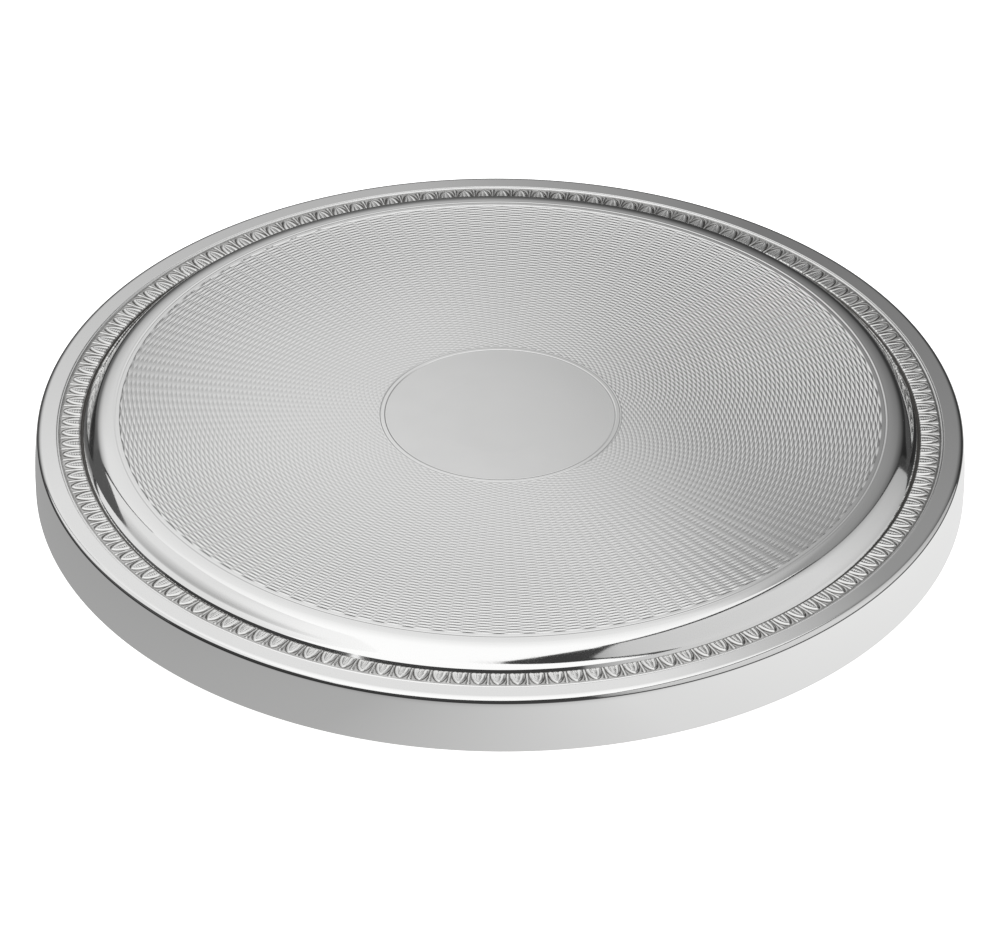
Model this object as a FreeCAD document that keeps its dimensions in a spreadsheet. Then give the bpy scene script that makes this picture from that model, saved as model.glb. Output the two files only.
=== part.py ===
import FreeCAD
import Part
import Sketcher
import math
import os

# Offering plate: a round silver-plated plate whose engine-turned centre stands raised
# above a flat rim with a stamped border. Millimetres, +Z up, origin on the axis at the
# level of the surface that the felt pad rests on.

doc = FreeCAD.newDocument("offering_plate")
sheet = doc.addObject("Spreadsheet::Sheet", "size")

DIMENSIONS = {
    # skirt and rolled edge of the rim shell
    "skirt_foot_radius": 152.34,
    "belly_radius": 132.0,          # section curve that brings the skirt out to 152.5
    "foot_gap": 0.5,                # the felt holds the skirt this far off the table
    "skirt_lean": 4.5,              # degrees from vertical where the rolled edge begins
    "rim_fall": 2.0,                # degrees that the rim falls towards its edge
    "roll_radius": 2.1,
    "roll_centre_radius": 149.9,
    "roll_centre_height": 18.55,
    "metal": 1.2,                   # sheet thickness
    # rebate for the stamped border
    "rebate_radius": 145.4,
    "rebate_inner_radius": 136.9,
    "rebate_floor": 19.8,
    "rim_line_height": 20.8,        # top of the border, level with the rim beside it
    # stamped border and its wire
    "border_outer_radius": 144.5,
    "border_inner_radius": 136.85,
    "leaf_foot_radius": 137.8,
    "leaf_foot_height": 20.85,
    "cove_floor": 20.15,
    "cove_radius": 137.2,
    "wire_radius": 0.45,
    "wire_centre_height": 20.4,
    # raised centre plate
    "platform_height": 27.0,
    "platform_radius": 127.5,
    "margin_curve": 12.4,           # gentle convex margin outside the platform
    "margin_angle": 12.0,
    "shoulder_curve": 5.0,          # tighter convex shoulder below the margin
    "wall_angle": 50.0,
    "wall_run": 2.07,               # straight part of the slope, measured across
    "cavetto_curve": 8.0,           # hollow at the foot of the slope
    "foot_angle": 36.0,
    "neck_radius": 136.8,
    "neck_shoulder_height": 20.0,
    "flange_radius": 144.0,
    # engraved lines on the platform
    "ring_line_radius": 126.2,
    "medallion_radius": 37.7,
    "medallion_outer_radius": 39.3,
    "line_width": 0.5,
    "line_depth": 0.15,
    # core board
    "core_radius": 135.0,
    "core_shoulder_height": 19.0,
    "core_crown_radius": 128.5,
    "core_bore": 3.4,
    # base plate with its pressed-up well
    "base_radius": 150.6,
    "base_floor": 2.0,
    "base_metal": 0.8,
    "well_radius": 20.0,
    "well_roof": 11.0,
    "stud_hole": 3.2,
    # stiffening ring and screws
    "ring_inner_radius": 144.0,
    "ring_outer_radius": 151.0,
    "ring_thickness": 4.0,
    "screw_circle": 147.0,
    "screw_count": 8,
    "screw_shank": 1.45,
    "screw_hole": 1.5,
    "screw_head": 2.8,
    "screw_head_height": 1.2,
    "screw_crown": 2.24,            # radius of the head's flat top
    "screw_rounding": 0.48,         # height that its rounded corner takes
    "slot_reach": 3.08,             # the slot runs out past the head on both sides
    "screw_length": 4.6,
    "slot_width": 0.7,
    "slot_depth": 0.6,
    # centre stud, washer and nut
    "stud_radius": 3.0,
    "stud_foot_radius": 12.0,
    "stud_foot_thickness": 1.6,
    "stud_end": 3.8,
    "washer_radius": 9.0,
    "washer_thickness": 1.4,
    "nut_flats": 10.0,
    "nut_height": 4.8,
    # felt pad
    "felt_radius": 142.0,
    "felt_thickness": 2.0,
}

for row, (alias, number) in enumerate(DIMENSIONS.items(), start=1):
    sheet.set("A%d" % row, alias)
    sheet.set("B%d" % row, str(number))
    sheet.setAlias("B%d" % row, alias)
doc.recompute()

TOLERANCE = 1e-6


def value(expression):
    """The number that an expression of sheet cells gives now."""
    result = sheet.evalExpression(expression)
    return float(getattr(result, "Value", result))


def plane(body, role):
    """One of the body's own origin planes."""
    for feature in body.Origin.OriginFeatures:
        if feature.Role == role:
            return feature
    raise ValueError("no origin plane " + role)


def new_body(node):
    body = doc.addObject("PartDesign::Body", node)
    body.Label = node
    return body


def new_sketch(body, name, role, height=None):
    """An empty sketch on an origin plane, raised by a bound height where one is given."""
    sketch = body.newObject("Sketcher::SketchObject", name)
    sketch.AttachmentSupport = [(plane(body, role), "")]
    sketch.MapMode = "FlatFace"
    if height is not None:
        sketch.setExpression("AttachmentOffset.Base.z", height)
    return sketch


def arc_middle(first, last, radius, side):
    """The middle of the minor arc from first to last, its centre on the given side."""
    chord = last.sub(first)
    half = chord.Length / 2.0
    across = FreeCAD.Vector(-chord.y, chord.x, 0).normalize().multiply(side)
    sagitta = radius - math.sqrt(radius * radius - half * half)
    return first.add(chord.multiply(0.5)).sub(across.multiply(sagitta))


def constrain_point(sketch, geometry, position, corner, tag):
    """Hold a point at its radius and height, both bound to the sheet."""
    for kind, axis, expression in (("DistanceX", -2, corner[0]), ("DistanceY", -1, corner[1])):
        if abs(value(expression)) < TOLERANCE:
            sketch.addConstraint(Sketcher.Constraint("PointOnObject", geometry, position, axis))
            continue
        name = tag + ("_across" if kind == "DistanceX" else "_up")
        rule = Sketcher.Constraint(kind, -1, 1, geometry, position, value(expression))
        sketch.renameConstraint(sketch.addConstraint(rule), name)
        sketch.setExpression("Constraints." + name, expression)


def outline(sketch, corners):
    """Draw a closed outline.

    A corner is (radius, height) or (radius, height, curve, side): with a curve, the
    stretch to the next corner is an arc of that radius whose centre lies on the left
    (side 1) or the right (side -1) of the way round.
    """
    points = [FreeCAD.Vector(value(c[0]), value(c[1]), 0) for c in corners]
    ends = []
    for number, corner in enumerate(corners):
        first = points[number]
        last = points[(number + 1) % len(points)]
        if len(corner) == 2:
            index = sketch.addGeometry(Part.LineSegment(first, last), False)
            ends.append((index, 1, 2))
            continue
        radius = value(corner[2])
        middle = arc_middle(first, last, radius, corner[3])
        index = sketch.addGeometry(Part.Arc(first, middle, last), False)
        forward = sketch.getPoint(index, 1).distanceToPoint(first) < TOLERANCE
        ends.append((index, 1, 2) if forward else (index, 2, 1))
        rule = sketch.addConstraint(Sketcher.Constraint("Radius", index, radius))
        sketch.renameConstraint(rule, "curve_%d" % number)
        sketch.setExpression("Constraints.curve_%d" % number, corner[2])
    for number, (index, start, finish) in enumerate(ends):
        following = ends[(number + 1) % len(ends)]
        sketch.addConstraint(Sketcher.Constraint("Coincident", index, finish, following[0], following[1]))
        constrain_point(sketch, index, start, corners[number], "corner_%d" % number)


def turned(node, corners):
    """A body turned about the axis from a section of radii and heights."""
    body = new_body(node)
    sketch = new_sketch(body, node + "_section", "XZ_Plane")
    outline(sketch, corners)
    revolution = body.newObject("PartDesign::Revolution", node + "_turning")
    revolution.Profile = sketch
    revolution.ReferenceAxis = (sketch, ["V_Axis"])
    revolution.Angle = 360
    doc.recompute()
    return body


def turned_groove(body, name, corners):
    """A groove turned into a body; it has to take material away."""
    before = body.Shape.Volume
    sketch = new_sketch(body, name + "_section", "XZ_Plane")
    outline(sketch, corners)
    groove = body.newObject("PartDesign::Groove", name)
    groove.Profile = sketch
    groove.ReferenceAxis = (sketch, ["V_Axis"])
    groove.Angle = 360
    doc.recompute()
    if body.Shape.Volume >= before:
        raise ValueError(name + " cuts nothing")


def circle_of_holes(body, name, radius, circle, count):
    """Equal holes through the body, on a circle about the axis."""
    before = body.Shape.Volume
    sketch = new_sketch(body, name + "_circle", "XY_Plane")
    centre = FreeCAD.Vector(value(circle), 0, 0)
    index = sketch.addGeometry(Part.Circle(centre, FreeCAD.Vector(0, 0, 1), value(radius)), False)
    sketch.addConstraint(Sketcher.Constraint("PointOnObject", index, 3, -1))
    across = sketch.addConstraint(Sketcher.Constraint("DistanceX", -1, 1, index, 3, value(circle)))
    sketch.renameConstraint(across, "across")
    sketch.setExpression("Constraints.across", circle)
    size = sketch.addConstraint(Sketcher.Constraint("Radius", index, value(radius)))
    sketch.renameConstraint(size, "hole_radius")
    sketch.setExpression("Constraints.hole_radius", radius)
    hole = body.newObject("PartDesign::Pocket", name)
    hole.Profile = sketch
    hole.Type = 1
    hole.Midplane = True
    doc.recompute()
    pattern = body.newObject("PartDesign::PolarPattern", name + "_pattern")
    pattern.Originals = [hole]
    pattern.Axis = (sketch, ["N_Axis"])
    pattern.Angle = 360
    pattern.setExpression("Occurrences", count)
    body.Tip = pattern
    doc.recompute()
    if body.Shape.Volume >= before:
        raise ValueError(name + " cuts nothing")


def on_roll(angle, radius="size.roll_radius"):
    """A point of the rolled edge whose outward normal leans this far from vertical."""
    across = "size.roll_centre_radius + %s * sin(%s)" % (radius, angle)
    up = "size.roll_centre_height + %s * cos(%s)" % (radius, angle)
    return across, up


# ---------------------------------------------------------------- rim shell
# Spun in one piece: bellied skirt, rolled edge, flat rim that falls slightly outwards,
# and a joggled rebate that the stamped border lies in.
inner_roll = "(size.roll_radius - size.metal)"
skirt_top = on_roll("90 - size.skirt_lean")
roll_start = on_roll("size.rim_fall")
skirt_top_inside = on_roll("90 - size.skirt_lean", inner_roll)
roll_start_inside = on_roll("size.rim_fall", inner_roll)
rim_at_rebate = "%s + (size.roll_centre_radius - size.rebate_radius) * tan(size.rim_fall)" % roll_start[1]
rim_underside = "%s - size.metal" % rim_at_rebate
turned("rim_shell", [
    ("size.skirt_foot_radius", "size.foot_gap", "size.belly_radius", 1),
    skirt_top + ("size.roll_radius", 1),
    roll_start,
    ("size.rebate_radius", rim_at_rebate),
    ("size.rebate_radius", "size.rebate_floor"),
    ("size.rebate_inner_radius", "size.rebate_floor"),
    ("size.rebate_inner_radius", "size.rebate_floor - size.metal"),
    ("size.rebate_radius + size.metal", "size.rebate_floor - size.metal"),
    ("size.rebate_radius + size.metal", rim_underside),
    roll_start_inside + (inner_roll, -1),
    skirt_top_inside + ("size.belly_radius - size.metal", -1),
    ("size.skirt_foot_radius - size.metal", "size.foot_gap"),
])

# ---------------------------------------------------------------- border wire
# Round wire soldered between the border and the step of the rim.
wire_body = new_body("border_wire")
wire_sketch = new_sketch(wire_body, "border_wire_section", "XZ_Plane")
wire_across = "size.rebate_radius - size.wire_radius"
wire_centre = FreeCAD.Vector(value(wire_across), value("size.wire_centre_height"), 0)
wire_circle = wire_sketch.addGeometry(
    Part.Circle(wire_centre, FreeCAD.Vector(0, 0, 1), value("size.wire_radius")), False)
constrain_point(wire_sketch, wire_circle, 3, (wire_across, "size.wire_centre_height"), "centre")
wire_rule = wire_sketch.addConstraint(Sketcher.Constraint("Radius", wire_circle, value("size.wire_radius")))
wire_sketch.renameConstraint(wire_rule, "wire_radius")
wire_sketch.setExpression("Constraints.wire_radius", "size.wire_radius")
wire = wire_body.newObject("PartDesign::Revolution", "border_wire_turning")
wire.Profile = wire_sketch
wire.ReferenceAxis = (wire_sketch, ["V_Axis"])
wire.Angle = 360
doc.recompute()

# ---------------------------------------------------------------- frieze strip
# Die-stamped ring with a small cove along its inner side; its top is the envelope of
# the leaf relief.
turned("frieze_strip", [
    ("size.border_inner_radius", "size.rebate_floor"),
    ("size.border_outer_radius", "size.rebate_floor"),
    ("size.border_outer_radius", "size.rim_line_height"),
    ("size.leaf_foot_radius", "size.leaf_foot_height"),
    ("size.cove_radius", "size.cove_floor"),
    ("size.border_inner_radius", "size.cove_floor"),
])

# ---------------------------------------------------------------- centre plate
# One spinning: flat platform, convex margin and shoulder, sloping wall, hollow foot,
# then a neck that drops through the rim and a flange that lies under the rebate.
margin_across = "size.platform_radius + size.margin_curve * sin(size.margin_angle)"
margin_up = "size.platform_height - size.margin_curve * (1 - cos(size.margin_angle))"
shoulder_across = "%s + size.shoulder_curve * (sin(size.wall_angle) - sin(size.margin_angle))" % margin_across
shoulder_up = "%s - size.shoulder_curve * (cos(size.margin_angle) - cos(size.wall_angle))" % margin_up
wall_across = "%s + size.wall_run" % shoulder_across
wall_up = "%s - size.wall_run * tan(size.wall_angle)" % shoulder_up
foot_across = "%s + size.cavetto_curve * (sin(size.wall_angle) - sin(size.foot_angle))" % wall_across
foot_up = "%s - size.cavetto_curve * (cos(size.foot_angle) - cos(size.wall_angle))" % wall_up


def under(across, up, angle):
    """The point one sheet thickness under a surface point whose slope is the angle."""
    return (
        "%s - size.metal * sin(%s)" % (across, angle),
        "%s - size.metal * cos(%s)" % (up, angle),
    )


centre_plate = turned("centre_plate", [
    ("0", "size.platform_height - size.metal"),
    under("size.platform_radius", "size.platform_height", "0") + ("size.margin_curve - size.metal", -1),
    under(margin_across, margin_up, "size.margin_angle") + ("size.shoulder_curve - size.metal", -1),
    under(shoulder_across, shoulder_up, "size.wall_angle"),
    under(wall_across, wall_up, "size.wall_angle") + ("size.cavetto_curve + size.metal", 1),
    under(foot_across, foot_up, "size.foot_angle"),
    ("size.neck_radius - size.metal", "size.neck_shoulder_height - size.metal"),
    ("size.neck_radius - size.metal", "size.rebate_floor - 2 * size.metal"),
    ("size.flange_radius", "size.rebate_floor - 2 * size.metal"),
    ("size.flange_radius", "size.rebate_floor - size.metal"),
    ("size.neck_radius", "size.rebate_floor - size.metal"),
    ("size.neck_radius", "size.neck_shoulder_height"),
    (foot_across, foot_up, "size.cavetto_curve", -1),
    (wall_across, wall_up),
    (shoulder_across, shoulder_up, "size.shoulder_curve", 1),
    (margin_across, margin_up, "size.margin_curve", 1),
    ("size.platform_radius", "size.platform_height"),
    ("0", "size.platform_height"),
])

for line_name, line_radius in (
    ("ring_line", "size.ring_line_radius"),
    ("medallion_line", "size.medallion_radius"),
    ("medallion_outer_line", "size.medallion_outer_radius"),
):
    turned_groove(centre_plate, line_name, [
        ("%s - size.line_width / 2" % line_radius, "size.platform_height"),
        (line_radius, "size.platform_height - size.line_depth"),
        ("%s + size.line_width / 2" % line_radius, "size.platform_height"),
    ])

# ---------------------------------------------------------------- core board
# Turned plywood board that keeps the thin plate from drumming and carries its weight.
crown = "size.platform_height - size.metal"
base_top = "size.base_floor + size.base_metal"
turned("core_board", [
    ("size.well_radius + 2 * size.base_metal", base_top),
    ("size.core_radius", base_top),
    ("size.core_radius", "size.core_shoulder_height"),
    ("size.core_crown_radius", crown),
    ("size.stud_foot_radius", crown),
    ("size.stud_foot_radius", "%s - size.stud_foot_thickness" % crown),
    ("size.core_bore", "%s - size.stud_foot_thickness" % crown),
    ("size.core_bore", "size.well_roof + size.base_metal"),
    ("size.well_radius + 2 * size.base_metal", "size.well_roof + size.base_metal"),
])

# ---------------------------------------------------------------- base plate
# Flat closing plate with a well pressed up in its middle, which hides the nut.
base_plate = turned("base_plate", [
    ("size.well_radius", "size.base_floor"),
    ("size.base_radius", "size.base_floor"),
    ("size.base_radius", base_top),
    ("size.well_radius + size.base_metal", base_top),
    ("size.well_radius + size.base_metal", "size.well_roof + size.base_metal"),
    ("size.stud_hole", "size.well_roof + size.base_metal"),
    ("size.stud_hole", "size.well_roof"),
    ("size.well_radius", "size.well_roof"),
])
circle_of_holes(base_plate, "base_screw_holes", "size.screw_hole", "size.screw_circle", "size.screw_count")

# ---------------------------------------------------------------- stiffening ring
# Brass ring soldered inside the foot of the skirt; the base screws bite in it.
ring = turned("stiffening_ring", [
    ("size.ring_inner_radius", base_top),
    ("size.ring_outer_radius", base_top),
    ("size.ring_outer_radius", "%s + size.ring_thickness" % base_top),
    ("size.ring_inner_radius", "%s + size.ring_thickness" % base_top),
])
circle_of_holes(ring, "tapped_holes", "size.screw_hole", "size.screw_circle", "size.screw_count")

# ---------------------------------------------------------------- base screws
# One slotted pan-head screw, repeated on the screw circle.
head_floor = "size.base_floor - size.screw_head_height"
screws = new_body("base_screws")
screws.AllowCompound = True
head_sketch = new_sketch(screws, "screw_section", "XZ_Plane")
outline(head_sketch, [
    ("size.screw_circle", head_floor),
    ("size.screw_circle + size.screw_crown", head_floor),
    ("size.screw_circle + size.screw_head", "%s + size.screw_rounding" % head_floor),
    ("size.screw_circle + size.screw_head", "size.base_floor"),
    ("size.screw_circle + size.screw_shank", "size.base_floor"),
    ("size.screw_circle + size.screw_shank", "size.base_floor + size.screw_length"),
    ("size.screw_circle", "size.base_floor + size.screw_length"),
])
screw_axis = head_sketch.addGeometry(Part.LineSegment(
    FreeCAD.Vector(value("size.screw_circle"), value(head_floor), 0),
    FreeCAD.Vector(value("size.screw_circle"), value("size.base_floor + size.screw_length"), 0)), True)
head_sketch.addConstraint(Sketcher.Constraint("Coincident", screw_axis, 1, 0, 1))
head_sketch.addConstraint(Sketcher.Constraint("Coincident", screw_axis, 2, 6, 1))
screw = screws.newObject("PartDesign::Revolution", "screw_turning")
screw.Profile = head_sketch
screw.ReferenceAxis = (head_sketch, ["Axis0"])
screw.Angle = 360
doc.recompute()
solid_screw = screws.Shape.Volume

slot_sketch = new_sketch(screws, "screw_slot_outline", "XY_Plane", head_floor)
outline(slot_sketch, [
    ("size.screw_circle - size.slot_reach", "size.slot_width / -2"),
    ("size.screw_circle + size.slot_reach", "size.slot_width / -2"),
    ("size.screw_circle + size.slot_reach", "size.slot_width / 2"),
    ("size.screw_circle - size.slot_reach", "size.slot_width / 2"),
])
slot = screws.newObject("PartDesign::Pocket", "screw_slot")
slot.Profile = slot_sketch
slot.Reversed = True
slot.setExpression("Length", "size.slot_depth")
doc.recompute()
if screws.Shape.Volume >= solid_screw:
    raise ValueError("screw slot cuts nothing")

screw_ring = screws.newObject("PartDesign::PolarPattern", "screw_pattern")
screw_ring.Originals = [screw, slot]
screw_ring.Axis = (slot_sketch, ["N_Axis"])
screw_ring.Angle = 360
screw_ring.setExpression("Occurrences", "size.screw_count")
screws.Tip = screw_ring
doc.recompute()

# ---------------------------------------------------------------- centre stud, washer, nut
# The stud's broad foot is soldered under the platform; washer and nut draw the base
# plate and the board up to it.
turned("centre_stud", [
    ("0", "size.stud_end"),
    ("size.stud_radius", "size.stud_end"),
    ("size.stud_radius", "%s - size.stud_foot_thickness" % crown),
    ("size.stud_foot_radius", "%s - size.stud_foot_thickness" % crown),
    ("size.stud_foot_radius", crown),
    ("0", crown),
])
washer_floor = "size.well_roof - size.washer_thickness"
turned("stud_washer", [
    ("size.stud_hole", washer_floor),
    ("size.washer_radius", washer_floor),
    ("size.washer_radius", "size.well_roof"),
    ("size.stud_hole", "size.well_roof"),
])

nut = new_body("stud_nut")
nut_sketch = new_sketch(nut, "nut_outline", "XY_Plane", "%s - size.nut_height" % washer_floor)
across_corners = "size.nut_flats / sqrt(3)"
first_corner = 15                   # degrees, so that no corner lies on an axis
outline(nut_sketch, [
    ("%s * cos(%d)" % (across_corners, turn), "%s * sin(%d)" % (across_corners, turn))
    for turn in range(first_corner, first_corner + 360, 60)
])
nut_bore = nut_sketch.addGeometry(
    Part.Circle(FreeCAD.Vector(0, 0, 0), FreeCAD.Vector(0, 0, 1), value("size.stud_radius")), False)
nut_sketch.addConstraint(Sketcher.Constraint("Coincident", nut_bore, 3, -1, 1))
bore_rule = nut_sketch.addConstraint(Sketcher.Constraint("Radius", nut_bore, value("size.stud_radius")))
nut_sketch.renameConstraint(bore_rule, "bore")
nut_sketch.setExpression("Constraints.bore", "size.stud_radius")
nut_pad = nut.newObject("PartDesign::Pad", "nut_pad")
nut_pad.Profile = nut_sketch
nut_pad.setExpression("Length", "size.nut_height")
doc.recompute()

# ---------------------------------------------------------------- felt pad
felt = doc.addObject("Part::Cylinder", "felt_pad")
felt.Label = "felt_pad"
felt.setExpression("Radius", "size.felt_radius")
felt.setExpression("Height", "size.felt_thickness")
doc.recompute()

# ---------------------------------------------------------------- checks and files
NODES = [
    "rim_shell", "border_wire", "frieze_strip", "centre_plate", "core_board", "base_plate",
    "stiffening_ring", "base_screws", "centre_stud", "stud_washer", "stud_nut", "felt_pad",
]

for item in doc.Objects:
    if "Invalid" in item.State or "Error" in item.State:
        raise ValueError(item.Name + " failed to recompute")

os.makedirs("parts", exist_ok=True)
for node in NODES:
    item = doc.getObjectsByLabel(node)[0]
    shape = item.Shape
    if shape.isNull() or not shape.isValid():
        raise ValueError(node + " has no valid shape")
    box = shape.BoundBox
    print("%-16s solids %2d  volume %10.1f  z %6.2f to %6.2f  radius %7.2f" % (
        node, len(shape.Solids), shape.Volume, box.ZMin, box.ZMax, box.XMax))
    shape.exportStep("parts/%s.step" % node)
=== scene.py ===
import math

import bpy
import numpy as np
from mathutils import Matrix, Vector


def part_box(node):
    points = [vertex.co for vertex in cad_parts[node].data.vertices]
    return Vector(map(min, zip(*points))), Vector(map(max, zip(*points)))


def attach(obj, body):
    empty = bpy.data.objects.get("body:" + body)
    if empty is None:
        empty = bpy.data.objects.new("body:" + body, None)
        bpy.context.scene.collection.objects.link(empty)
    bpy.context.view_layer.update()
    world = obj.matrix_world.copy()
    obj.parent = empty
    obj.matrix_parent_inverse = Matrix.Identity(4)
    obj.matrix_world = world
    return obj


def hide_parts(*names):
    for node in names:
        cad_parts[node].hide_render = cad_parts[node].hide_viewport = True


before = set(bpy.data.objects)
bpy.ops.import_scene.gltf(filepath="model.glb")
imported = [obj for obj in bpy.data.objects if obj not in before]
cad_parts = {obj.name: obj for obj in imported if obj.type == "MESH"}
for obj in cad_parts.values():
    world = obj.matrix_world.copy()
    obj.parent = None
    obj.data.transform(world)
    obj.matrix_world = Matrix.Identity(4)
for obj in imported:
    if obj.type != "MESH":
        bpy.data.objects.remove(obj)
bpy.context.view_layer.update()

# Offering plate. Sections are drawn in millimetres, as radii and heights, and every
# mesh is brought to metres by MM. Heights and outer radii come from the CAD nodes.
MM = 0.001


def extent(node):
    """Outer radius, foot height and top height of a CAD node, in millimetres."""
    low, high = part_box(node)
    return high.x / MM, low.z / MM, high.z / MM


RIM_RADIUS, SKIRT_FOOT, RIM_TOP = extent("rim_shell")
STRIP_RADIUS, STRIP_FLOOR, STRIP_TOP = extent("frieze_strip")
FLANGE_RADIUS, FLANGE_FLOOR, PLATFORM = extent("centre_plate")
FELT_RADIUS, FELT_FLOOR, FELT_TOP = extent("felt_pad")
WIRE_RADIUS, WIRE_FLOOR, WIRE_TOP = extent("border_wire")
METAL = 1.2                     # sheet thickness of both spinnings

# ---------------------------------------------------------------- camera
CAMERA_DISTANCE = 4.234
CAMERA_ELEVATION = 34.31        # degrees above the horizon
CAMERA_TILT = 0.157             # degrees that the camera looks below the rim line's centre
CAMERA_ROLL = 0.463
CAMERA_LENS = 465.1             # millimetres, on a 36 mm sensor


def add_camera():
    """A long lens from the front, well above the plate."""
    data = bpy.data.cameras.new("camera")
    data.lens = CAMERA_LENS
    data.sensor_width = 36.0
    data.clip_end = 100.0
    camera = bpy.data.objects.new("camera", data)
    bpy.context.scene.collection.objects.link(camera)
    rise = math.radians(CAMERA_ELEVATION)
    aim = Vector((0.0, 0.0, STRIP_TOP * MM))
    place = aim + CAMERA_DISTANCE * Vector((0.0, -math.cos(rise), math.sin(rise)))
    lean = math.radians(90.0 - CAMERA_ELEVATION - CAMERA_TILT)
    turn = Matrix.Rotation(lean, 4, "X") @ Matrix.Rotation(math.radians(CAMERA_ROLL), 4, "Z")
    camera.matrix_world = Matrix.Translation(place) @ turn
    bpy.context.scene.camera = camera
    bpy.context.scene.view_settings.view_transform = "Standard"


# ---------------------------------------------------------------- mesh helpers
GUARD = 0.12                    # a straight run starts and ends with a short step this long
SHARP_ANGLE = math.radians(30.0)


def arc(radius, height, curve, first, last, steps):
    """Points of an arc about (radius, height); angles lean outwards from vertical, in degrees."""
    leans = np.radians(np.linspace(first, last, steps + 1))
    return [(radius + curve * math.sin(a), height + curve * math.cos(a)) for a in leans]


def run_on(points, curve, first, last, steps):
    """points with an arc added that goes on smoothly; a negative curve bends it upwards."""
    lean = math.radians(first)
    radius = points[-1][0] - curve * math.sin(lean)
    height = points[-1][1] - curve * math.cos(lean)
    return points + arc(radius, height, curve, first, last, steps)[1:]


def run(first, last):
    """A straight stretch, with a guard point close to each end so that its shading stays flat."""
    length = math.hypot(last[0] - first[0], last[1] - first[1])
    shares = [GUARD / length, 1.0 - GUARD / length] if length > 4 * GUARD else []
    return [tuple(f + (t - f) * share for f, t in zip(first, last)) for share in shares]


def loft(name, rings, turns, closed=False, creased=(), finishes=None):
    """A mesh through rings of (radius, height), each a number or one value per turn.

    Rings go outwards over the top and back underneath. creased holds the numbers of rings
    that keep a sharp edge, and finishes gives the material number of each band of faces.
    """
    angles = np.arange(turns) * 2 * math.pi / turns
    points, starts, ring_of = [], [], []
    for number, (radius, height) in enumerate(rings):
        starts.append(len(points))
        if np.isscalar(radius) and radius == 0:
            points.append((0.0, 0.0, height * MM))
            ring_of.append(number)
            continue
        across = np.broadcast_to(radius, turns) * MM
        up = np.broadcast_to(height, turns) * MM
        points.extend(zip(across * np.cos(angles), across * np.sin(angles), up))
        ring_of.extend([number] * turns)
    is_pole = [np.isscalar(radius) and radius == 0 for radius, _ in rings]
    bands = len(rings) if closed else len(rings) - 1
    faces, band_of = [], []
    for band in range(bands):
        following = (band + 1) % len(rings)
        a, b = starts[band], starts[following]
        for i in range(turns):
            j = (i + 1) % turns
            if is_pole[band]:
                faces.append((a, b + i, b + j))
            elif is_pole[following]:
                faces.append((a + i, b, a + j))
            else:
                faces.append((a + i, b + i, b + j, a + j))
            band_of.append(band)
    mesh = bpy.data.meshes.new(name)
    mesh.from_pydata([tuple(map(float, p)) for p in points], [], faces)
    mesh.polygons.foreach_set("use_smooth", [True] * len(faces))
    mesh.set_sharp_from_angle(angle=SHARP_ANGLE)
    if creased:
        ends = np.zeros(len(mesh.edges) * 2, int)
        mesh.edges.foreach_get("vertices", ends)
        rings_met = np.array(ring_of)[ends.reshape(-1, 2)]
        along = (rings_met[:, 0] == rings_met[:, 1]) & np.isin(rings_met[:, 0], list(creased))
        sharp = np.zeros(len(mesh.edges), bool)
        mesh.edges.foreach_get("use_edge_sharp", sharp)
        mesh.edges.foreach_set("use_edge_sharp", sharp | along)
    if finishes is not None:
        mesh.polygons.foreach_set("material_index", [finishes[band] for band in band_of])
    mesh.update()
    piece = bpy.data.objects.new(name, mesh)
    bpy.context.scene.collection.objects.link(piece)
    return piece


def finish_piece(piece, slot, materials, *nodes):
    """Give a piece its materials and its body, and hide the nodes it stands for; slot is not used."""
    for material in materials:
        piece.data.materials.append(material)
    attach(piece, "root")
    if nodes:
        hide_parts(*nodes)
    return piece


# ---------------------------------------------------------------- material helpers
def new_material(name, color, metallic, roughness):
    """A Principled material; returns it with its node tree and shader."""
    material = bpy.data.materials.new(name)
    material.use_nodes = True
    tree = material.node_tree
    shader = tree.nodes["Principled BSDF"]
    shader.inputs["Base Color"].default_value = (*color, 1.0)
    shader.inputs["Metallic"].default_value = metallic
    shader.inputs["Roughness"].default_value = roughness
    return material, tree, shader


def add_node(tree, kind, values=(), **settings):
    """A node with its settings, and numbers for some of its inputs as (input, number) pairs."""
    node = tree.nodes.new(kind)
    for key, setting in settings.items():
        setattr(node, key, setting)
    for socket, number in values:
        node.inputs[socket].default_value = number
    return node


def combine(tree, operation, *values):
    """One or two values, each a socket or a number, put through a math operation."""
    node = add_node(tree, "ShaderNodeMath", operation=operation)
    for number, value in enumerate(values):
        if isinstance(value, (int, float)):
            node.inputs[number].default_value = value
        else:
            tree.links.new(value, node.inputs[number])
    return node.outputs[0]


def object_place(tree, scale=(1.0, 1.0, 1.0)):
    """The point on the surface in metres, stretched by scale."""
    place = add_node(tree, "ShaderNodeTexCoord")
    mapping = add_node(tree, "ShaderNodeMapping", [("Scale", scale)])
    tree.links.new(place.outputs["Object"], mapping.inputs["Vector"])
    return mapping.outputs["Vector"]


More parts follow.
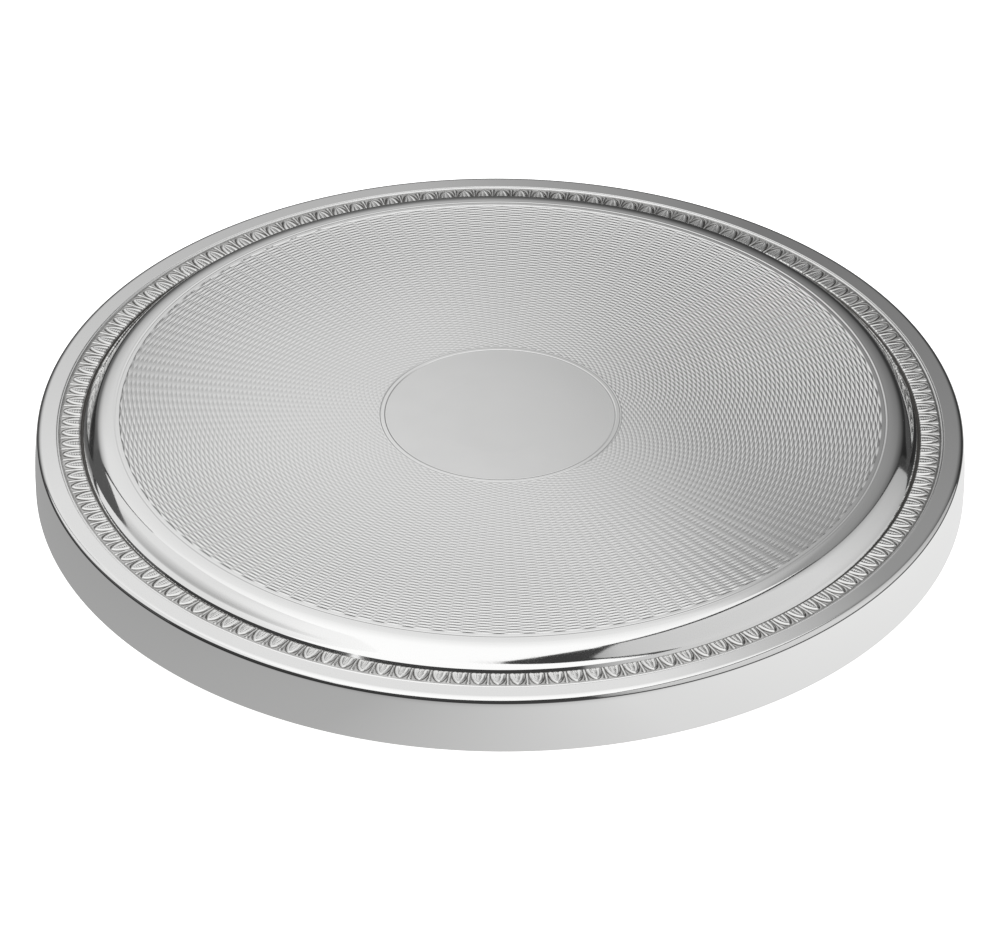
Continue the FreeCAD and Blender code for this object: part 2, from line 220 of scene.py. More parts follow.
def polar_place(tree, around, outwards):
    """(angle, radius, height) of the point, the angle and the radius scaled."""
    place = add_node(tree, "ShaderNodeTexCoord")
    parts = add_node(tree, "ShaderNodeSeparateXYZ")
    tree.links.new(place.outputs["Object"], parts.inputs[0])
    angle = combine(tree, "ARCTAN2", parts.outputs["Y"], parts.outputs["X"])
    flat = add_node(tree, "ShaderNodeVectorMath", [(1, (1.0, 1.0, 0.0))], operation="MULTIPLY")
    tree.links.new(place.outputs["Object"], flat.inputs[0])
    radius = add_node(tree, "ShaderNodeVectorMath", operation="LENGTH")
    tree.links.new(flat.outputs[0], radius.inputs[0])
    joined = add_node(tree, "ShaderNodeCombineXYZ")
    tree.links.new(combine(tree, "MULTIPLY", angle, around), joined.inputs["X"])
    tree.links.new(combine(tree, "MULTIPLY", radius.outputs["Value"], outwards), joined.inputs["Y"])
    tree.links.new(parts.outputs["Z"], joined.inputs["Z"])
    return joined.outputs[0]


def noise(tree, vector, scale, detail=3.0, rough=0.55):
    """A noise value from 0 to 1 at the place given by vector."""
    node = add_node(tree, "ShaderNodeTexNoise",
                    [("Scale", scale), ("Detail", detail), ("Roughness", rough)])
    tree.links.new(vector, node.inputs["Vector"])
    return node.outputs["Fac"]


def remap(tree, value, low, high, to_low, to_high):
    """value moved from the range low-high to to_low-to_high, and kept inside it."""
    node = add_node(tree, "ShaderNodeMapRange",
                    [(1, low), (2, high), (3, to_low), (4, to_high)])
    tree.links.new(value, node.inputs[0])
    return node.outputs[0]


def mix_color(tree, share, first, second):
    """A colour that runs from first to second as share runs from 0 to 1."""
    node = add_node(tree, "ShaderNodeMix", data_type="RGBA")
    node.inputs[6].default_value = (*first, 1.0)
    node.inputs[7].default_value = (*second, 1.0)
    tree.links.new(share, node.inputs[0])
    return node.outputs[2]


def bump(tree, shader, height, distance):
    """Bump the shader's surface; the distance is in metres."""
    node = add_node(tree, "ShaderNodeBump", [("Strength", 1.0), ("Distance", distance)])
    tree.links.new(height, node.inputs["Height"])
    tree.links.new(node.outputs[0], shader.inputs["Normal"])


# ---------------------------------------------------------------- materials
SILVER = (0.955, 0.955, 0.95)


def polished_silver(name, roughness=0.05, wear=0.05):
    """Buffed silver plate: faint handling marks and polishing lines in its gloss."""
    material, tree, shader = new_material(name, SILVER, 1.0, roughness)
    marks = noise(tree, object_place(tree), 55.0, 4.0)
    tree.links.new(remap(tree, marks, 0.35, 0.75, roughness, roughness + wear),
                   shader.inputs["Roughness"])
    lines = noise(tree, polar_place(tree, 3.0, 2600.0), 1.0, 2.0)
    bump(tree, shader, lines, 0.0000012)
    return material


def satin_silver(name, roughness=0.24):
    """The medallion: silver plate with a fine turned satin grain."""
    material, tree, shader = new_material(name, SILVER, 1.0, roughness)
    cloud = noise(tree, object_place(tree), 70.0, 3.0)
    tree.links.new(remap(tree, cloud, 0.0, 1.0, roughness - 0.05, roughness + 0.06),
                   shader.inputs["Roughness"])
    grain = noise(tree, polar_place(tree, 14.0, 2400.0), 1.0, 2.0)
    bump(tree, shader, grain, 0.000002)
    return material


def brass(name, color, roughness, grain_around, grain_outwards, depth):
    """Turned or spun brass: tool lines round the axis and a slightly uneven tone."""
    material, tree, shader = new_material(name, color, 1.0, roughness)
    cloud = noise(tree, object_place(tree), 38.0, 4.0)
    dull = tuple(0.86 * part for part in color)
    tree.links.new(mix_color(tree, remap(tree, cloud, 0.35, 0.7, 0.0, 1.0), color, dull),
                   shader.inputs["Base Color"])
    lines = noise(tree, polar_place(tree, grain_around, grain_outwards), 1.0, 3.0)
    tree.links.new(remap(tree, lines, 0.3, 0.7, roughness - 0.05, roughness + 0.08),
                   shader.inputs["Roughness"])
    bump(tree, shader, lines, depth)
    return material, shader


def nickel_steel(name):
    """Nickel-plated steel for the screws and the washer."""
    material, tree, shader = new_material(name, (0.66, 0.65, 0.62), 1.0, 0.26)
    lines = noise(tree, object_place(tree, (1.0, 1.0, 4.0)), 900.0, 3.0)
    tree.links.new(remap(tree, lines, 0.3, 0.7, 0.18, 0.36), shader.inputs["Roughness"])
    bump(tree, shader, lines, 0.000006)
    return material


def plywood(name):
    """Turned birch board: long grain on its faces and thin plies round its edge."""
    material, tree, shader = new_material(name, (0.62, 0.46, 0.29), 0.0, 0.55)
    grain = noise(tree, object_place(tree, (18.0, 210.0, 60.0)), 1.0, 5.0, 0.6)
    plies = add_node(tree, "ShaderNodeTexWave", [("Scale", 110.0), ("Distortion", 0.6)],
                     bands_direction="Z")
    tree.links.new(object_place(tree), plies.inputs["Vector"])
    tone = combine(tree, "ADD", combine(tree, "MULTIPLY", grain, 0.7),
                   combine(tree, "MULTIPLY", plies.outputs["Fac"], 0.3))
    tree.links.new(mix_color(tree, remap(tree, tone, 0.3, 0.75, 0.0, 1.0),
                             (0.42, 0.27, 0.14), (0.72, 0.56, 0.37)), shader.inputs["Base Color"])
    tree.links.new(remap(tree, grain, 0.3, 0.7, 0.48, 0.66), shader.inputs["Roughness"])
    bump(tree, shader, grain, 0.00006)
    return material


def wool_felt(name):
    """Dense dyed baize: crossed fibres, small tufts and a slow change of tone."""
    material, tree, shader = new_material(name, (0.03, 0.11, 0.06), 0.0, 0.95)
    shader.inputs["Sheen Weight"].default_value = 0.35
    shader.inputs["Sheen Roughness"].default_value = 0.6
    shader.inputs["Specular IOR Level"].default_value = 0.15
    fibres = combine(
        tree, "MAXIMUM",
        noise(tree, object_place(tree, (2600.0, 420.0, 900.0)), 1.0, 3.0),
        noise(tree, object_place(tree, (480.0, 2400.0, 900.0)), 1.0, 3.0))
    tufts = noise(tree, object_place(tree), 520.0, 4.0)
    tone = combine(tree, "ADD", combine(tree, "MULTIPLY", fibres, 0.85),
                   combine(tree, "MULTIPLY", noise(tree, object_place(tree), 24.0, 3.0), 0.15))
    tree.links.new(mix_color(tree, remap(tree, tone, 0.44, 0.72, 0.0, 1.0),
                             (0.014, 0.055, 0.028), (0.055, 0.17, 0.095)), shader.inputs["Base Color"])
    bump(tree, shader, combine(tree, "ADD", fibres, tufts), 0.00022)
    return material


def finish_node(node, material):
    """Give a carried-over CAD node its material."""
    slots = bpy.data.objects[node].material_slots
    for slot in slots:
        slot.material = material


# ---------------------------------------------------------------- rim shell
RIM_TURNS = 480
BELLY = 132.0                   # section curve of the skirt
ROLL = 2.1                      # radius of the rolled edge
RIM_FALL = 2.0                  # degrees that the rim falls outwards
SKIRT_LEAN = 4.5                # degrees from vertical where the roll meets the skirt
REBATE = 145.4                  # outer wall of the rebate that holds the border
REBATE_INNER = 136.9
REBATE_LIP = 0.16               # rounded top edge of the rebate's wall


def rim_section():
    """The rim shell's closed section: rim, rolled edge, bellied skirt, and back inside."""
    roll_across = RIM_RADIUS - 0.45 - ROLL
    roll_up = RIM_TOP - 0.156 - ROLL
    roll = arc(roll_across, roll_up, ROLL, RIM_FALL, 90.0 - SKIRT_LEAN, 30)
    rise = math.tan(math.radians(RIM_FALL))
    rim_edge = (REBATE + REBATE_LIP, roll[0][1] + (roll[0][0] - REBATE - REBATE_LIP) * rise)
    foot_across = RIM_RADIUS - 0.12
    skirt = belly(roll[-1], (foot_across, SKIRT_FOOT), 22)
    inner_roll = arc(roll_across, roll_up, ROLL - METAL, 90.0 - SKIRT_LEAN, RIM_FALL, 8)
    under_rim = rim_edge[1] - METAL
    floor = STRIP_FLOOR
    return (
        [(REBATE_INNER, floor), (REBATE - 0.05, floor), (REBATE, floor + 0.05)]
        + run((REBATE, floor), (REBATE, rim_edge[1] - REBATE_LIP))
        + arc(REBATE + REBATE_LIP, rim_edge[1] - REBATE_LIP, REBATE_LIP, -90.0, 0.0, 5)
        + run(rim_edge, roll[0]) + roll
        + skirt[1:]
        + [(foot_across - METAL, SKIRT_FOOT)]
        + [(across - METAL, up) for across, up in reversed(skirt[1:-1:4])]
        + inner_roll
        + [(REBATE + METAL, under_rim), (REBATE + METAL, floor - METAL), (REBATE_INNER, floor - METAL)]
    )


def belly(first, last, steps):
    """The skirt's outward-curving section from the rolled edge down to its foot."""
    chord = math.hypot(last[0] - first[0], last[1] - first[1])
    sagitta = BELLY - math.sqrt(BELLY ** 2 - (chord / 2) ** 2)
    points = []
    for step in range(steps + 1):
        share = step / steps
        swell = 4 * share * (1 - share) * sagitta
        points.append((first[0] + (last[0] - first[0]) * share + swell,
                       first[1] + (last[1] - first[1]) * share))
    return points


def make_rim(material):
    """The spun shell of rim and skirt."""
    piece = loft("rim_shell_turned", rim_section(), RIM_TURNS, closed=True)
    return finish_piece(piece, "polished_plate", [material], "rim_shell")


def make_wire(material):
    """Round wire soldered round the outside of the border."""
    half = (WIRE_TOP - WIRE_FLOOR) / 2
    section = arc(WIRE_RADIUS - half, WIRE_FLOOR + half, half, 0.0, 360.0, 20)[:-1]
    piece = loft("border_wire_drawn", section, RIM_TURNS, closed=True)
    return finish_piece(piece, "polished_plate", [material], "border_wire")


# ---------------------------------------------------------------- centre plate
WAVES = 80                      # waves of each engine-turned line
TURNS_PER_WAVE = 6
LINE_PITCH = 0.74
LINE_COUNT = 115
FIELD_START = 40.05
WAVE_SWING = 0.47               # of the pitch: neighbouring lines nearly touch
FLANK_LEANS = (2.6, 12.0)       # degrees: the cut deepens from the middle outwards
FIELD_GAP = 0.45                # plain metal between a boundary and the first line
MEDALLION_FLAT = 18.0           # the medallion is flat out to here
MEDALLION_EDGE = 37.0
MEDALLION_LINES = (37.7, 39.3)
MEDALLION_LINE_DEPTHS = (0.02, 0.05)
MEDALLION_FALL = 0.06           # the medallion's edge lies this much below its middle
RING_LINE = 126.2               # bottom of the line round the platform's edge
RING_LINE_DEPTH = 0.06
MARGIN_STEP = 0.035             # the margin starts this much below the platform
LINE_HALF = 0.25
PLATFORM_RADIUS = 127.15
MARGIN_CURVE = 14.1
MARGIN_LEAN = 12.0
SHOULDER_CURVE = 5.0
WALL_LEANS = (47.5, 52.2)       # the wall steepens a little towards its foot
WALL_CURVE = 42.0
CAVETTO_CURVE = 7.2
FOOT_LEAN = 36.0
NECK_RADIUS = 136.8
NECK_SLOPE_END = (137.1, 20.05)  # a steep slope runs from the hollow foot down to the border


def engraved_line(radius, depth, inward, outward):
    """Three points of a shallow engraved V with its own reach to each side."""
    return [(radius - inward, PLATFORM), (radius, PLATFORM - depth), (radius + outward, PLATFORM)]


def medallion_section():
    """The medallion, flat in its middle and falling softly to its edge."""
    section = [(0, PLATFORM)]
    for radius in (6.0, 12.0, 18.0, 21.0, 24.0, 27.0, 30.0, 32.5, 35.0, 37.0):
        share = max(0.0, (radius - MEDALLION_FLAT) / (MEDALLION_EDGE - MEDALLION_FLAT))
        section.append((radius, PLATFORM - MEDALLION_FALL * share ** 2.2))
    return section


def engine_turned_rings(turns):
    """Wavy lines in opposite phase, with a crest between each pair: rows of long lozenges."""
    angles = np.arange(turns) * 2 * math.pi / turns
    swing = WAVE_SWING * LINE_PITCH * np.cos(WAVES * angles)
    rings = []
    for number in range(LINE_COUNT):
        share = (number / (LINE_COUNT - 1)) ** 1.5
        lean = math.tan(math.radians(FLANK_LEANS[0] + (FLANK_LEANS[1] - FLANK_LEANS[0]) * share))
        depth = lean * LINE_PITCH * (0.5 + WAVE_SWING) + 0.004
        phase = 1 if number % 2 else -1
        middle = FIELD_START + number * LINE_PITCH
        rings.append((middle + phase * swing, np.full(turns, PLATFORM - depth)))
        if number < LINE_COUNT - 1:
            half_gap = LINE_PITCH / 2 - phase * swing
            rings.append((np.full(turns, middle + LINE_PITCH / 2), PLATFORM - depth + lean * half_gap))
    return rings


def edge_section():
    """Margin, shoulder, sloping wall and hollow foot of the centre plate."""
    margin_centre = PLATFORM - MARGIN_STEP - MARGIN_CURVE
    section = arc(PLATFORM_RADIUS, margin_centre, MARGIN_CURVE, 0.0, MARGIN_LEAN, 6)
    section = run_on(section, SHOULDER_CURVE, MARGIN_LEAN, WALL_LEANS[0], 13)
    section = run_on(section, WALL_CURVE, WALL_LEANS[0], WALL_LEANS[1], 6)
    return run_on(section, -CAVETTO_CURVE, WALL_LEANS[1], FOOT_LEAN, 7)


def make_centre_plate(silver, turned, satin):
    """The raised centre: medallion, engine turning, ring line, wall, neck and flange."""
    turns = WAVES * TURNS_PER_WAVE
    medallion = medallion_section()
    line, fallen = MEDALLION_LINES[0], PLATFORM - MEDALLION_FALL
    inner_line = [(line - LINE_HALF, fallen), (line, fallen - MEDALLION_LINE_DEPTHS[0]),
                  (line + 0.35, PLATFORM)]
    outer_line = engraved_line(MEDALLION_LINES[1], MEDALLION_LINE_DEPTHS[1], LINE_HALF, LINE_HALF)
    field = engine_turned_rings(turns)
    field_end = FIELD_START + (LINE_COUNT - 1) * LINE_PITCH
    before_field = [(FIELD_START - FIELD_GAP, PLATFORM)]
    after_field = [(field_end + FIELD_GAP, PLATFORM)]
    ring_line = engraved_line(RING_LINE, RING_LINE_DEPTH, 0.3, 0.5)
    edge = edge_section()
    foot = edge[-1]
    neck = [NECK_SLOPE_END, (NECK_RADIUS, NECK_SLOPE_END[1]), (NECK_RADIUS, STRIP_FLOOR - METAL)]
    flange = [(FLANGE_RADIUS, STRIP_FLOOR - METAL), (FLANGE_RADIUS, FLANGE_FLOOR)]
    inside = [
        (NECK_RADIUS - METAL, FLANGE_FLOOR),
        (NECK_RADIUS - METAL, NECK_SLOPE_END[1] - METAL),
        (foot[0] - 0.8 * METAL, foot[1] - METAL),
        (PLATFORM_RADIUS + 4.0, PLATFORM - 2 * METAL),
        (PLATFORM_RADIUS, PLATFORM - METAL),
        (0, PLATFORM - METAL),
    ]
    parts = [medallion, inner_line, outer_line, before_field, field, after_field, ring_line,
             edge, neck, flange, inside]
    rings = [ring for part in parts for ring in part]
    first_field = len(medallion) + len(inner_line) + len(outer_line)
    last_field = first_field + len(before_field) + len(field)
    polished, engine_turned, matt = range(3)
    finishes = []
    for band in range(len(rings) - 1):
        if band < len(medallion):
            finishes.append(matt)
        elif first_field <= band < last_field:
            finishes.append(engine_turned)
        else:
            finishes.append(polished)
    foot_ring = sum(len(part) for part in parts[:8]) - 1
    groove_rings = set(range(len(medallion), last_field + 1 + len(ring_line) + 1)) | {foot_ring}
    piece = loft("centre_plate_engraved", rings, turns, creased=groove_rings, finishes=finishes)
    return finish_piece(piece, "engraved_plate", [silver, turned, satin], "centre_plate")


# ---------------------------------------------------------------- stamped border
UNITS = 142                     # leaves round the border
ACROSS = 32                     # mesh steps across one leaf
ALONG = 25                      # mesh steps from a leaf's foot to its tip
LEAF_FOOT = 137.8
COVE = 137.2
COVE_FLOOR = 20.1
STRIP_INNER = 136.85
RELIEF = 0.45
LEAF_HALF = 0.39                # of the unit's width
VEIN_HALF = 0.23
DOT_ACROSS = 0.12               # spacing of the veins' dots, of the unit's width
DOT_ALONG = 0.80                # and in millimetres along the leaf
DART_HALF = 0.06
GROUND = 0.45                   # height of the plain ground, of the relief
GROUND_FALL = 0.05              # the ground falls this much from the leaves' feet to their tips
VEIN_LENGTH = 5.0               # the dots end this far out from the leaf's foot
# dark colour of the recesses: partly oxide, partly painted shade where the recesses would be shaded
OXIDE_AND_SHADE = (0.10, 0.095, 0.09)
RUBBED_SILVER = (0.90, 0.90, 0.89)
EDGE_DROP = 0.37                # the plain outer edge lies this much below the strip's top
STRIP_SHARP_ANGLE = math.radians(50.0)


def smooth(value, low, high):
    """A soft step from 0 at low to 1 at high."""
    share = np.clip((value - low) / (high - low), 0.0, 1.0)
    return share * share * (3 - 2 * share)


def leaf_relief(across, along):
    """Height from 0 to 1 of one leaf and its half darts; across runs -0.5 to 0.5, along 0 to 1.

    The ground lies at GROUND; a cut line below it follows the leaf's outline and each dart.
    """
    side = np.abs(across)
    half = LEAF_HALF * np.clip(1 - (along / 0.95) ** 2, 0.0, 1.0) ** 0.6
    inward = half - side
    crown = np.sin(0.5 * math.pi * np.clip(inward / 0.12, 0.0, 1.0))
    vein_half = VEIN_HALF * np.clip(1 - (along / 0.82) ** 2, 0.0, 1.0) ** 0.6
    hollow = smooth(vein_half - side, 0.0, 0.05) * (0.45 - 0.40 * np.clip(1 - side / 0.2, 0.0, 1.0))
    leaf_cut = GROUND * np.exp(-((inward + 0.04) / 0.045) ** 2)
    from_dart = 0.5 - side
    dart_half = DART_HALF * (1 + 0.5 * np.exp(-((along - 0.90) / 0.07) ** 2))
    dart = 0.42 * np.cos(0.5 * math.pi * np.clip(from_dart / dart_half, 0.0, 1.0))
    dart_cut = 0.8 * GROUND * np.exp(-((from_dart - dart_half - 0.01) / 0.03) ** 2)
    cuts = np.maximum(leaf_cut, dart_cut) * (1 - smooth(along, 0.93, 1.0))
    height = GROUND - cuts + dart + (1 - GROUND) * crown * (inward > 0) - hollow * (inward > 0)
    return np.clip(height, 0.0, 1.0)


def stamped_silver(name):
    """Die-stamped silver plate with dotted veins down each leaf, darker the lower it lies: partly
    oxide left in the recesses, partly painted shade of the recesses and dots.
    """
    material, tree, shader = new_material(name, SILVER, 1.0, 0.14)
    place = polar_place(tree, UNITS / (2 * math.pi), 1.0 / MM)
    parts = add_node(tree, "ShaderNodeSeparateXYZ")
    tree.links.new(place, parts.inputs[0])
    unit = combine(tree, "FRACT", combine(tree, "ADD", parts.outputs["X"], float(UNITS)))
    aside = combine(tree, "SUBTRACT", unit, 0.5)
    columns = combine(tree, "MULTIPLY", aside, 2 * math.pi / DOT_ACROSS)
    rows = combine(tree, "MULTIPLY", parts.outputs["Y"], 2 * math.pi / DOT_ALONG)
    column = remap(tree, combine(tree, "COSINE", columns), -0.2, 0.8, 0.0, 1.0)
    row = remap(tree, combine(tree, "COSINE", rows), -0.3, 0.7, 0.0, 1.0)
    dots = combine(tree, "MULTIPLY", column, row)
    outward = remap(tree, parts.outputs["Y"], LEAF_FOOT + 0.2, LEAF_FOOT + VEIN_LENGTH, 1.0, 0.0)
    reach = combine(tree, "MULTIPLY", combine(tree, "POWER", outward, 0.6), VEIN_HALF - 0.03)
    within = combine(tree, "LESS_THAN", combine(tree, "ABSOLUTE", aside), reach)
    dots = combine(tree, "MULTIPLY", dots, within)
    # Painted shade: the colour darkens with depth below the relief's top and in the dots, partly as
    # oxide and partly as the shade that falls in these recesses.
    lowest = STRIP_TOP - RELIEF - GROUND_FALL
    raised = remap(tree, combine(tree, "MULTIPLY", parts.outputs["Z"], 1.0 / MM),
                   lowest, lowest + RELIEF, 0.0, 1.0)
    cloud = noise(tree, object_place(tree), 260.0, 3.0)
    clean_and_lit = combine(tree, "ADD", raised, remap(tree, cloud, 0.3, 0.7, -0.08, 0.08))
    clean_and_lit = combine(tree, "SUBTRACT", clean_and_lit, combine(tree, "MULTIPLY", dots, 0.75))
    share = remap(tree, clean_and_lit, 0.08, 0.60, 0.0, 1.0)
    tree.links.new(mix_color(tree, share, OXIDE_AND_SHADE, RUBBED_SILVER), shader.inputs["Base Color"])
    tree.links.new(remap(tree, share, 0.0, 1.0, 0.34, 0.12), shader.inputs["Roughness"])
    bump(tree, shader, combine(tree, "SUBTRACT", 1.0, dots), 0.00008)
    return material


def make_frieze(material):
    """The stamped strip: a cove, a row of leaves and darts, and a plain outer edge."""
    turns = UNITS * ACROSS
    across = (np.arange(turns) % ACROSS) / ACROSS - 0.5
    ground_inner = STRIP_TOP - RELIEF
    edge_height = STRIP_TOP - EDGE_DROP
    cove = [
        (STRIP_INNER, COVE_FLOOR),
        (COVE, COVE_FLOOR),
        (COVE + 0.25, COVE_FLOOR + 0.06),
        (LEAF_FOOT - 0.22, ground_inner - 0.02),
        (LEAF_FOOT - 0.14, ground_inner + 0.10),
        (LEAF_FOOT - 0.04, ground_inner + 0.10),
    ]
    rings = [(np.full(turns, r), np.full(turns, z)) for r, z in cove]
    length = STRIP_RADIUS - 0.55 - LEAF_FOOT
    for step in range(ALONG + 1):
        along = step / ALONG
        radius = LEAF_FOOT + along * length
        ground = ground_inner - GROUND_FALL * along
        relief = leaf_relief(across, np.full(turns, along)) * smooth(along, -0.02, 0.05)
        rings.append((np.full(turns, radius), ground + relief * (RELIEF - 0.02)))
    rings.append((np.full(turns, STRIP_RADIUS - 0.40), np.full(turns, edge_height)))
    rings.append((np.full(turns, STRIP_RADIUS), np.full(turns, edge_height)))
    piece = loft_strip("frieze_strip_stamped", rings, turns, STRIP_FLOOR)
    return finish_piece(piece, "stamped_plate", [material], "frieze_strip")


def loft_strip(name, rings, turns, floor):
    """A lofted strip closed underneath by a coarser flat floor, one step for each leaf."""
    angles = np.arange(turns) * 2 * math.pi / turns
    points = np.concatenate([
        np.stack([r * np.cos(angles), r * np.sin(angles), z], axis=1) for r, z in rings])
    faces = []
    for band in range(len(rings) - 1):
        a, b = band * turns, (band + 1) * turns
        faces.extend((a + i, b + i, b + (i + 1) % turns, a + (i + 1) % turns) for i in range(turns))
    coarse = np.arange(UNITS) * 2 * math.pi / UNITS
    outer, inner = len(points), len(points) + UNITS
    for radius in (rings[-1][0][0], rings[0][0][0]):
        floor_ring = np.stack(
            [radius * np.cos(coarse), radius * np.sin(coarse), np.full(UNITS, floor)], axis=1)
        points = np.concatenate([points, floor_ring])
    last = (len(rings) - 1) * turns
    for unit in range(UNITS):
        following = (unit + 1) % UNITS
        for step in range(ACROSS):
            i = unit * ACROSS + step
            j = (i + 1) % turns
            near = unit if step < ACROSS // 2 else following
            faces.append((last + i, outer + near, last + j))
            faces.append((j, inner + near, i))
        middle = unit * ACROSS + ACROSS // 2
        faces.append((last + middle, outer + unit, outer + following))
        faces.append((middle, inner + following, inner + unit))
        faces.append((outer + unit, inner + unit, inner + following, outer + following))
    mesh = bpy.data.meshes.new(name)
    mesh.from_pydata([tuple(map(float, p * MM)) for p in points], [], faces)
    mesh.polygons.foreach_set("use_smooth", [True] * len(faces))
    mesh.set_sharp_from_angle(angle=STRIP_SHARP_ANGLE)
    mesh.update()
    piece = bpy.data.objects.new(name, mesh)
    bpy.context.scene.collection.objects.link(piece)
    return piece


# ---------------------------------------------------------------- felt pad
FELT_TURNS = 240
FELT_RINGS = 44


def make_felt(material):
    """A cut disc of felt, laid under the base plate; its underside is softly uneven."""
    rng = np.random.default_rng(7)
    rings = [(0, FELT_TOP), (FELT_RADIUS * 0.5, FELT_TOP), (FELT_RADIUS - 0.3, FELT_TOP)]
    ragged = 0.16 * rng.random(FELT_TURNS)
    for height in np.linspace(FELT_TOP - 0.15, FELT_FLOOR + 0.25, 5):
        fray = 0.10 * rng.random(FELT_TURNS)
        rings.append((FELT_RADIUS - 0.02 - ragged - fray, np.full(FELT_TURNS, height)))
    for number in range(FELT_RINGS, 0, -1):
        radius = (FELT_RADIUS - 0.45) * number / FELT_RINGS
        rings.append((np.full(FELT_TURNS, radius), FELT_FLOOR + 0.09 * rng.random(FELT_TURNS)))
    rings.append((0, FELT_FLOOR + 0.02))
    piece = loft("felt_pad_cut", rings, FELT_TURNS)
    finish_piece(piece, "felt", [material], "felt_pad")
    return piece


# ---------------------------------------------------------------- stage and light
def card(name, corners, level=1.0):
    """A flat light that the camera doesn't see, through corners in metres.

    It has an even level unless something is linked to the strength that is returned with its tree.
    """
    mesh = bpy.data.meshes.new(name)
    mesh.from_pydata(corners, [], [tuple(range(len(corners)))])
    piece = bpy.data.objects.new(name, mesh)
    bpy.context.scene.collection.objects.link(piece)
    piece.visible_camera = False
    piece.visible_shadow = False
    material = bpy.data.materials.new(name)
    material.use_nodes = True
    tree = material.node_tree
    tree.nodes.clear()
    output = add_node(tree, "ShaderNodeOutputMaterial")
    emission = add_node(tree, "ShaderNodeEmission", [("Strength", level)])
    tree.links.new(emission.outputs[0], output.inputs[0])
    piece.data.materials.append(material)
    return tree, emission


def ramp(tree, value, stops):
    """A curve of straight stretches through (position, level) stops."""
    node = add_node(tree, "ShaderNodeFloatCurve")
    low, high = stops[0][0], stops[-1][0]
    top = max(level for _, level in stops)
    points = node.mapping.curves[0].points
    for position, level in stops[1:-1]:
        points.new((position - low) / (high - low), level / top)
    points[0].location = (0.0, stops[0][1] / top)
    points[len(points) - 1].location = (1.0, stops[-1][1] / top)
    for point in points:
        point.handle_type = "VECTOR"
    node.mapping.update()
    tree.links.new(remap(tree, value, low, high, 0.0, 1.0), node.inputs["Value"])
    return combine(tree, "MULTIPLY", node.outputs[0], top)


def place_parts(tree):
    """The point's three coordinates in metres."""
    place = add_node(tree, "ShaderNodeNewGeometry")
    parts = add_node(tree, "ShaderNodeSeparateXYZ")
    tree.links.new(place.outputs["Position"], parts.inputs[0])
    return parts.outputs["X"], parts.outputs["Y"], parts.outputs["Z"]


BACK = 0.8                      # how far behind the plate's axis the back light stands
BACK_BEND = 0.54                # above this height the back light's falling-off moves right
SIDE = 0.9                      # the side lights stand this far from the axis
CEILING = 1.25
LEFT_SLOPE = 0.5                # the left light's lower edge rises towards the front
SHEET_HALF = 3.0
SHEET_DROP = 0.0005             # the reflected sheet lies this much below the floor


def add_back_light():
    """Dark at its foot, bright above, and falling off to the right."""
    left, right, foot, top = -1.0, 0.9, -0.10, 1.35
    corners = [(left, BACK, foot), (right, BACK, foot), (right, BACK, top), (left, BACK, top)]
    tree, emission = card("back_light", corners)
    across, _, up = place_parts(tree)
    rise = ramp(tree, up, [(foot, 0.10), (0.20, 0.20), (0.40, 0.66), (0.62, 1.04), (top, 1.15)])
    lift = combine(tree, "MAXIMUM", combine(tree, "SUBTRACT", up, BACK_BEND), 0.0)
    slanted = combine(tree, "SUBTRACT", across, combine(tree, "MULTIPLY", lift, 0.5))
    side = ramp(tree, slanted, [(-1.0, 0.74), (-0.04, 0.72), (0.12, 0.28), (0.9, 0.12)])
    tree.links.new(combine(tree, "MULTIPLY", rise, side), emission.inputs["Strength"])


def add_overhead_light():
    """The broad light above, brighter towards the front, where its edge runs at a slant."""
    corners = [(x, y, CEILING) for x, y in (
        (-1.5, -1.95), (-1.5, 0.85), (0.62, 0.85), (0.62, -1.08), (0.0, -1.52))]
    tree, emission = card("overhead_light", corners)
    _, depth, _ = place_parts(tree)
    level = ramp(tree, depth, [(-2.1, 1.04), (-0.3, 1.02), (0.85, 0.86)])
    tree.links.new(level, emission.inputs["Strength"])


def add_right_light():
    """A tall light on the right, brightest beside the plate."""
    corners = [(SIDE, -2.2, -0.3), (SIDE, 0.7, -0.3), (SIDE, 0.7, 1.47), (SIDE, -2.2, 1.62)]
    tree, emission = card("right_light", corners)
    _, depth, _ = place_parts(tree)
    level = ramp(tree, depth, [(-2.2, 0.2), (-1.3, 0.58), (0.0, 0.68), (0.7, 0.40)])
    tree.links.new(level, emission.inputs["Strength"])


def add_left_lights():
    """A raised light on the left with a soft, sloping lower edge, and a dim panel below it."""
    corners = [(-SIDE, y, z) for y, z in (
        (0.62, 0.20), (0.2, 0.20), (-1.6, 1.10), (-1.6, 1.5), (0.62, 1.5))]
    tree, emission = card("left_light", corners)
    _, depth, up = place_parts(tree)
    above_edge = combine(tree, "ADD", up, combine(tree, "MULTIPLY", depth, LEFT_SLOPE))
    soft_edge = ramp(tree, above_edge, [(0.2, 0.12), (0.42, 1.0), (1.9, 1.0)])
    level = ramp(tree, depth, [(-1.6, 1.0), (-0.7, 0.92), (-0.1, 0.76), (0.62, 0.76)])
    tree.links.new(combine(tree, "MULTIPLY", soft_edge, level), emission.inputs["Strength"])
    corners = [(-SIDE, y, z) for y, z in ((0.80, -0.3), (-0.25, -0.3), (-0.25, 0.20), (0.80, 0.20))]
    card("left_panel", corners, 0.09)


def add_floor():
    """The pale floor that the camera sees; reflections don't show it."""
    bpy.ops.mesh.primitive_plane_add(size=40.0)
    floor = bpy.context.object
    floor.name = "floor"
    floor.visible_glossy = False
    material, _, shader = new_material("floor_paper", (0.95, 0.95, 0.95), 0.0, 0.9)
    shader.inputs["Emission Color"].default_value = (1.0, 1.0, 1.0, 1.0)
    shader.inputs["Emission Strength"].default_value = 0.9
    floor.data.materials.append(material)


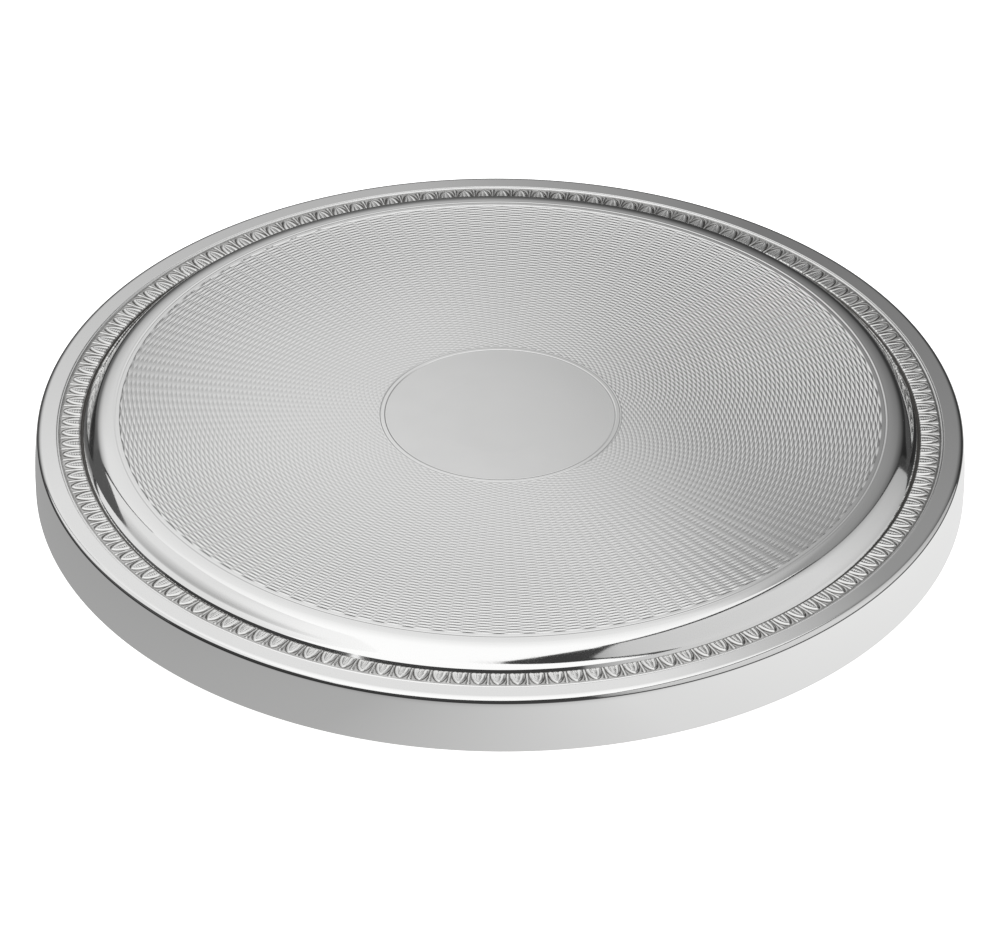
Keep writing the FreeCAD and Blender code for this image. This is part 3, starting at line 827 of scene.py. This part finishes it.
def add_floor_sheet():
    """The sheet that the skirt reflects: brighter to the right, and dim away from the plate."""
    corners = [(SHEET_HALF * x, SHEET_HALF * y, -SHEET_DROP)
               for x, y in ((-1, -1), (1, -1), (1, 1), (-1, 1))]
    tree, emission = card("floor_sheet", corners)
    bpy.data.objects["floor_sheet"].visible_diffuse = False
    across, depth, _ = place_parts(tree)
    side = ramp(tree, across, [(-0.2, 0.34), (-0.06, 0.42), (0.06, 0.72), (0.2, 0.86)])
    squares = combine(tree, "ADD", combine(tree, "MULTIPLY", across, across),
                      combine(tree, "MULTIPLY", depth, depth))
    radius = combine(tree, "SQRT", squares)
    reach = ramp(tree, radius, [(0.0, 1.0), (0.19, 1.0), (0.21, 0.08), (SHEET_HALF, 0.08)])
    tree.links.new(combine(tree, "MULTIPLY", side, reach), emission.inputs["Strength"])


def add_world():
    """A faint even fill."""
    world = bpy.data.worlds.new("studio")
    bpy.context.scene.world = world
    world.use_nodes = True
    background = world.node_tree.nodes["Background"]
    background.inputs["Color"].default_value = (1.0, 1.0, 1.0, 1.0)
    background.inputs["Strength"].default_value = 0.045


# ---------------------------------------------------------------- making
add_camera()
silver = polished_silver("silver_polished")
turned_silver = polished_silver("silver_engine_turned", roughness=0.13, wear=0.04)
satin = satin_silver("silver_satin")
make_rim(silver)
make_wire(silver)
make_centre_plate(silver, turned_silver, satin)
make_frieze(stamped_silver("silver_stamped"))
make_felt(wool_felt("felt_green"))

sheet_brass, sheet_shader = brass("brass_lacquered", (0.80, 0.63, 0.33), 0.26, 2.0, 1600.0, 0.000008)
sheet_shader.inputs["Coat Weight"].default_value = 0.6
sheet_shader.inputs["Coat Roughness"].default_value = 0.08
turned_brass, _ = brass("brass_turned", (0.74, 0.56, 0.28), 0.30, 1.0, 2600.0, 0.000012)
steel = nickel_steel("steel_nickel_plated")
finish_node("base_plate", sheet_brass)
for node in ("stiffening_ring", "centre_stud", "stud_nut"):
    finish_node(node, turned_brass)
for node in ("base_screws", "stud_washer"):
    finish_node(node, steel)
finish_node("core_board", plywood("birch_board"))

add_floor()
add_floor_sheet()
add_back_light()
add_overhead_light()
add_right_light()
add_left_lights()
add_world()
